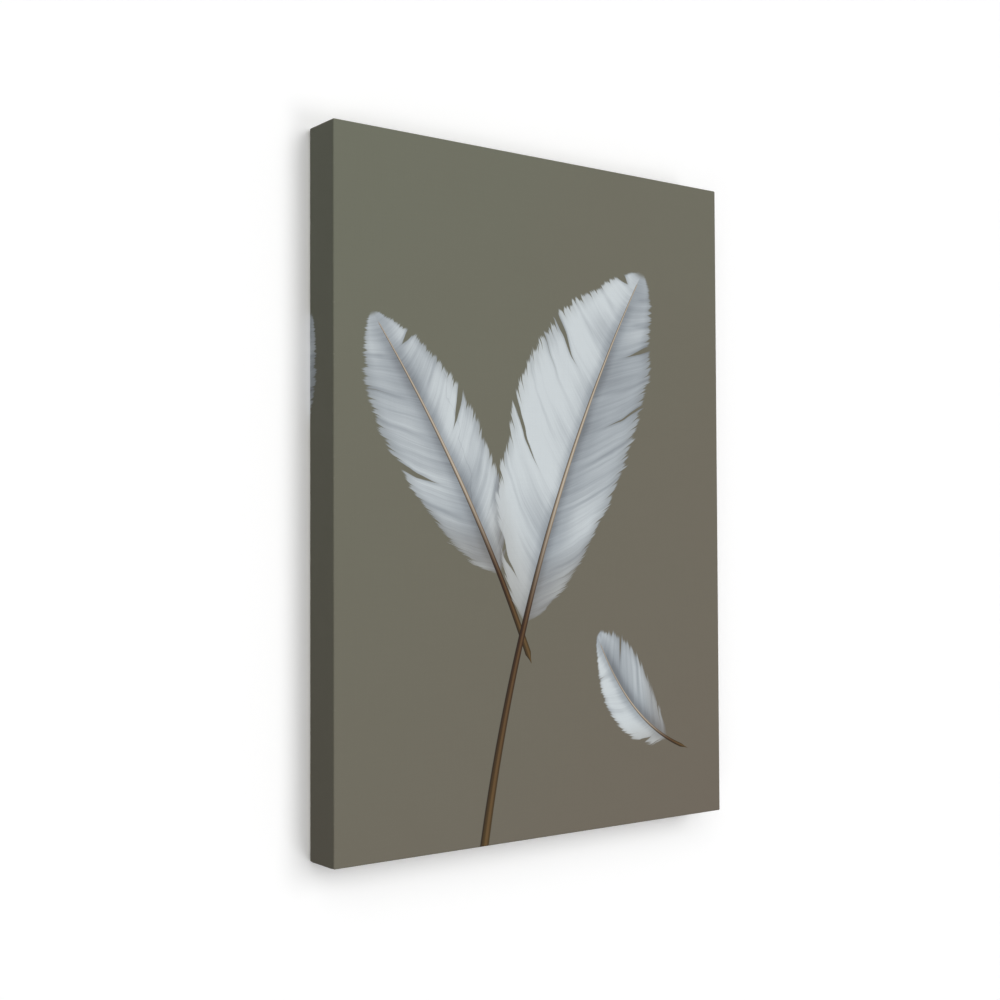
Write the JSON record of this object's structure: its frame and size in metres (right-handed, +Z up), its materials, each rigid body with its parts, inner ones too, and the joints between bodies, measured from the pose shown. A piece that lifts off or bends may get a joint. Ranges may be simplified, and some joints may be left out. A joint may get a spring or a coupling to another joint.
{
  "type": "stretched canvas print",
  "caption": "Upright rectangular printed canvas stretched over a deep wooden frame, its sides wrapped with the mirrored picture, hung on a wall by a sawtooth hanger.",
  "frame": {"origin": "in the wall plane, at the middle notch of the sawtooth hanger, where the wall nail or hook bears", "axes": "+X to the viewer's right, +Y back towards the wall, +Z up; the picture faces -Y"},
  "size_m": [0.5, 0.048, 0.7],
  "materials": {
    "canvas": "printed matte canvas, woven texture, raw on its turned edge",
    "bar_wood": "planed unfinished pine",
    "brace_wood": "planed unfinished pine",
    "key_wood": "unfinished beech",
    "staple_steel": "galvanised wire",
    "hanger_steel": "zinc-plated stamped strip",
    "nail_steel": "bright steel",
    "bumper_rubber": "matte black"
  },
  "bodies": {
    "root": {"canvas": "canvas", "stretcher_bar_left": "bar_wood", "stretcher_bar_right": "bar_wood", "stretcher_bar_top": "bar_wood", "stretcher_bar_bottom": "bar_wood", "centre_brace": "brace_wood", "corner_key_left_upper": "key_wood", "corner_key_left_lower": "key_wood", "corner_key_right_upper": "key_wood", "corner_key_right_lower": "key_wood", "corner_key_top_left": "key_wood", "corner_key_top_right": "key_wood", "corner_key_bottom_left": "key_wood", "corner_key_bottom_right": "key_wood", "staple_top_1": "staple_steel", "staple_top_2": "staple_steel", "staple_top_3": "staple_steel", "staple_top_4": "staple_steel", "staple_top_5": "staple_steel", "staple_top_6": "staple_steel", "staple_top_7": "staple_steel", "staple_bottom_1": "staple_steel", "staple_bottom_2": "staple_steel", "staple_bottom_3": "staple_steel", "staple_bottom_4": "staple_steel", "staple_bottom_5": "staple_steel", "staple_bottom_6": "staple_steel", "staple_bottom_7": "staple_steel", "staple_left_1": "staple_steel", "staple_left_2": "staple_steel", "staple_left_3": "staple_steel", "staple_left_4": "staple_steel", "staple_left_5": "staple_steel", "staple_left_6": "staple_steel", "staple_left_7": "staple_steel", "staple_left_8": "staple_steel", "staple_left_9": "staple_steel", "staple_left_10": "staple_steel", "staple_right_1": "staple_steel", "staple_right_2": "staple_steel", "staple_right_3": "staple_steel", "staple_right_4": "staple_steel", "staple_right_5": "staple_steel", "staple_right_6": "staple_steel", "staple_right_7": "staple_steel", "staple_right_8": "staple_steel", "staple_right_9": "staple_steel", "staple_right_10": "staple_steel", "staple_corner_top_left": "staple_steel", "staple_corner_top_right": "staple_steel", "staple_corner_bottom_left": "staple_steel", "staple_corner_bottom_right": "staple_steel", "sawtooth_hanger": "hanger_steel", "hanger_nail_left": "nail_steel", "hanger_nail_right": "nail_steel", "wall_bumper_left": "bumper_rubber", "wall_bumper_right": "bumper_rubber"}
  },
  "joints": []
}
